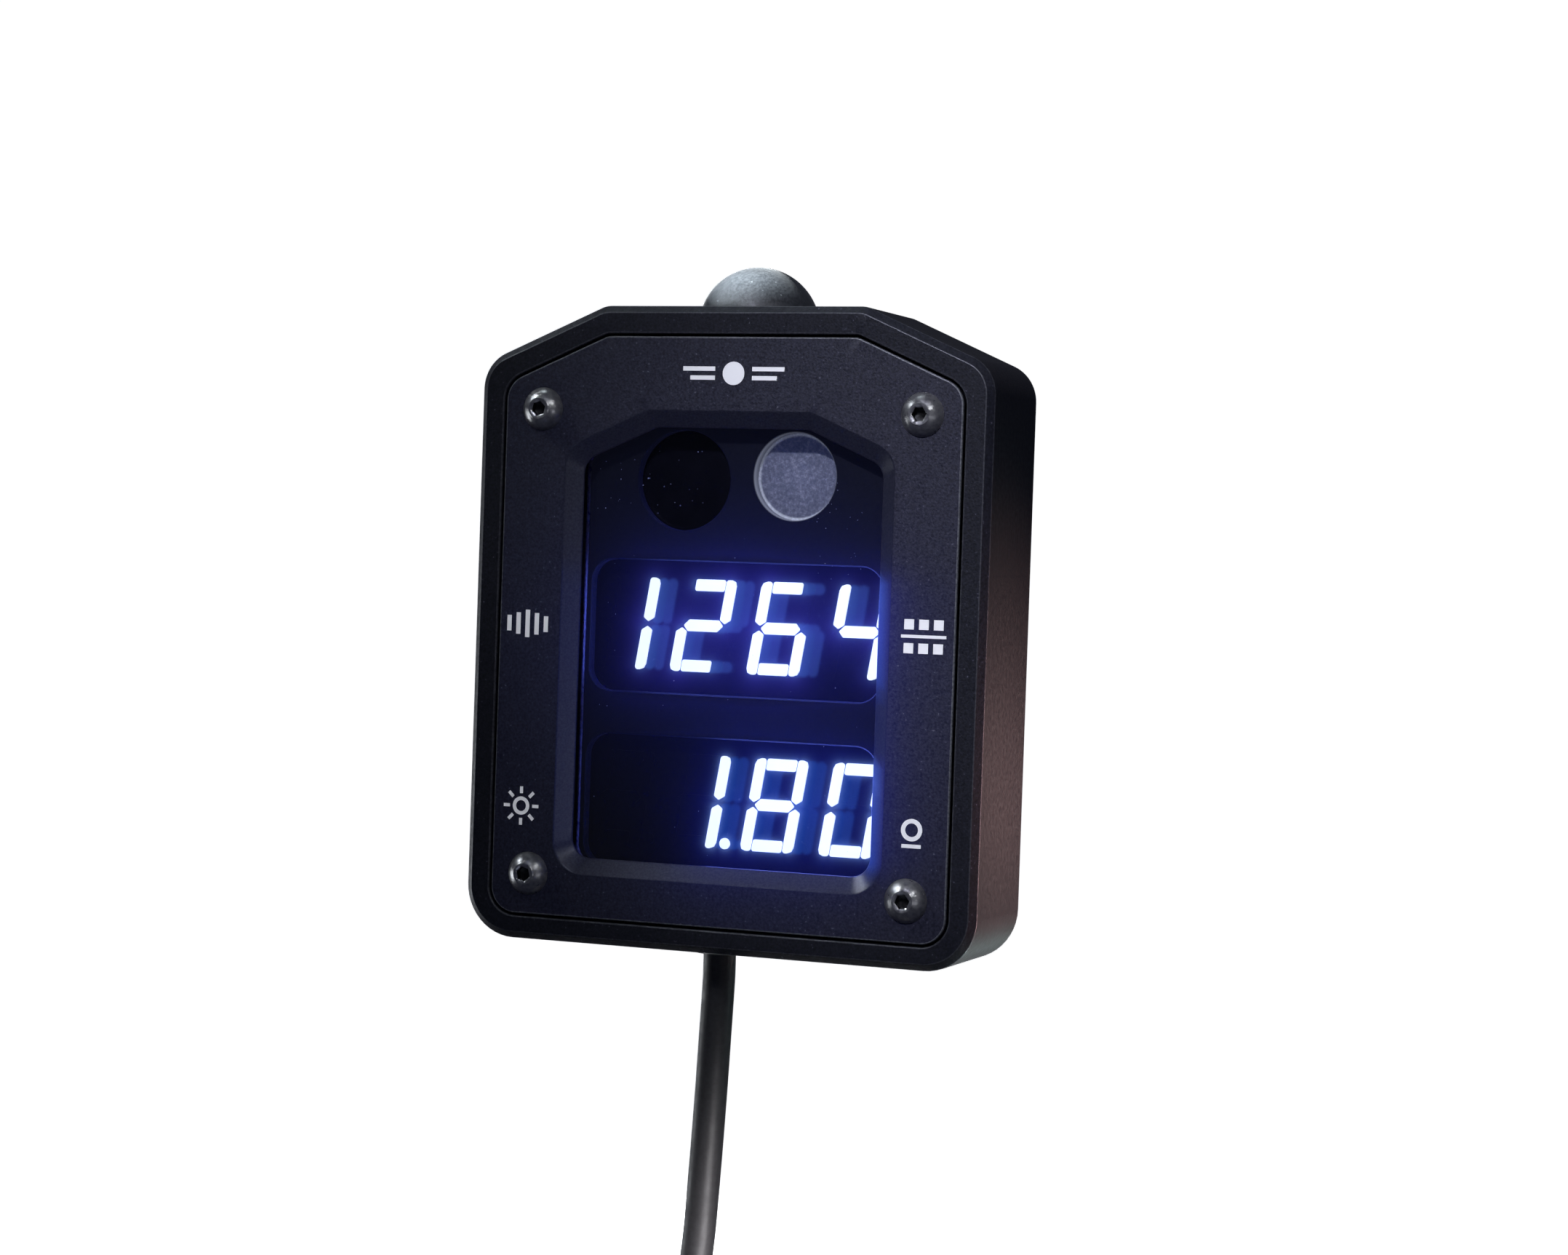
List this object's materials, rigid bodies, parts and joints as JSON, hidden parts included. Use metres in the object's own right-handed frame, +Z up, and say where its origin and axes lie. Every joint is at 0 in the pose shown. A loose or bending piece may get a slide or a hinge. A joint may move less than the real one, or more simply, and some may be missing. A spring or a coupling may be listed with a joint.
{
  "type": "light meter",
  "caption": "Panel-style light meter with a bevelled window over two sensor apertures and two lit readouts, a sprung rubber push button on top and a power cord below.",
  "frame": {"origin": "middle of the four rear mounting holes, on the rear face", "axes": "+X to the viewer's right, +Y out of the rear face away from the viewer (the readout face looks along -Y), +Z up towards the push button"},
  "size_m": [0.0853, 0.0287, 0.2948],
  "materials": {
    "anodised_black": "bead-blasted black anodising",
    "dark_steel": "polished dark oxide",
    "bright_steel": "plain",
    "gasket_rubber": "matte",
    "clear_pane": "clear, slight blue tint",
    "mask_black": "matte black",
    "uv_glass": "near-black violet filter glass",
    "frosted_plastic": "frosted white",
    "black_plastic": "matte moulded",
    "gold_can": "gold plated",
    "circuit_board": "green solder mask",
    "display_black": "dark tinted face",
    "unlit_segment": "dim diffusing resin",
    "tinned_pin": "tinned",
    "chip_black": "moulded epoxy",
    "capacitor_tan": "sintered ceramic",
    "brass": "turned",
    "connector_white": "nylon",
    "lead_red": "insulated wire",
    "cord_rubber": "matte",
    "nickel": "nickel plated",
    "print_white": "screen print",
    "dome_rubber": "matte fine grain",
    "tie_plastic": "nylon",
    "lit_segment": "lit white-blue segment"
  },
  "bodies": {
    "meter": {"housing": "anodised_black", "bezel_plate": "anodised_black", "bezel_screws": "dark_steel", "bezel_gasket": "gasket_rubber", "window_pane": "clear_pane", "window_gasket": "gasket_rubber", "mask_panel": "mask_black", "mask_screws": "bright_steel", "uv_filter": "uv_glass", "vis_diffuser": "frosted_plastic", "sensor_holder": "black_plastic", "uv_photodiode": "gold_can", "vis_photodiode": "gold_can", "sensor_board": "circuit_board", "sensor_screws": "bright_steel", "sensor_header": "black_plastic", "upper_display_case": "display_black", "lower_display_case": "display_black", "upper_lit_segments": "lit_segment", "lower_lit_segments": "lit_segment", "unlit_segments": "unlit_segment", "display_pins": "tinned_pin", "main_board": "circuit_board", "microcontroller": "chip_black", "display_drivers": "chip_black", "voltage_regulator": "chip_black", "capacitors": "capacitor_tan", "board_standoffs": "brass", "board_screws": "bright_steel", "power_connector": "connector_white", "internal_leads": "lead_red", "cord_bushing": "cord_rubber", "cord_clamp": "bright_steel", "cord_entry": "cord_rubber", "switch_body": "black_plastic", "switch_bushing": "nickel", "switch_nut": "nickel", "switch_pins": "tinned_pin", "return_spring": "bright_steel", "rear_cover": "anodised_black", "rear_gasket": "gasket_rubber", "rear_cover_screws": "dark_steel", "printed_marks": "print_white", "cord_lead": "cord_rubber", "cord_coil": "cord_rubber", "coil_tie": "tie_plastic", "cord_tail": "cord_rubber", "plug_relief": "cord_rubber", "plug_body": "black_plastic", "plug_barrel": "nickel", "plug_core": "black_plastic"},
    "button": {"button_cap": "dome_rubber", "button_plunger": "nickel"}
  },
  "joints": [
    {"name": "button_press", "type": "slide", "parent": "meter", "child": "button", "axis": [0, 0, 1], "range_m": [-0.0012, 0], "stiffness_N_per_m": 1500, "springref_m": 0.0008, "deforming": ["return_spring"]}
  ]
}
